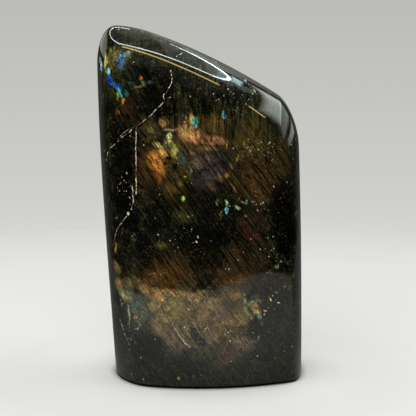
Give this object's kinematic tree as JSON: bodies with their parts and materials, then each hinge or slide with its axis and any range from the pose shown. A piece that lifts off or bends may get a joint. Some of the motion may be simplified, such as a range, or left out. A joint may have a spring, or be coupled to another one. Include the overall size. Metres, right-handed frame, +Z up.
{
  "type": "labradorite freeform",
  "caption": "Polished upright slab of dark labradorite with a domed face, a crest that slopes to one side and a flat sawn base to stand on.",
  "frame": {"origin": "middle of the sawn base, under the middle of the stone's box", "axes": "+Z up the stone, +X from the high end of the crest towards the low end, -Y out of the broad front face"},
  "size_m": [0.0868, 0.051, 0.1487],
  "materials": {
    "labradorite": "polished"
  },
  "bodies": {
    "root": {"labradorite_stone": "labradorite"}
  },
  "joints": []
}
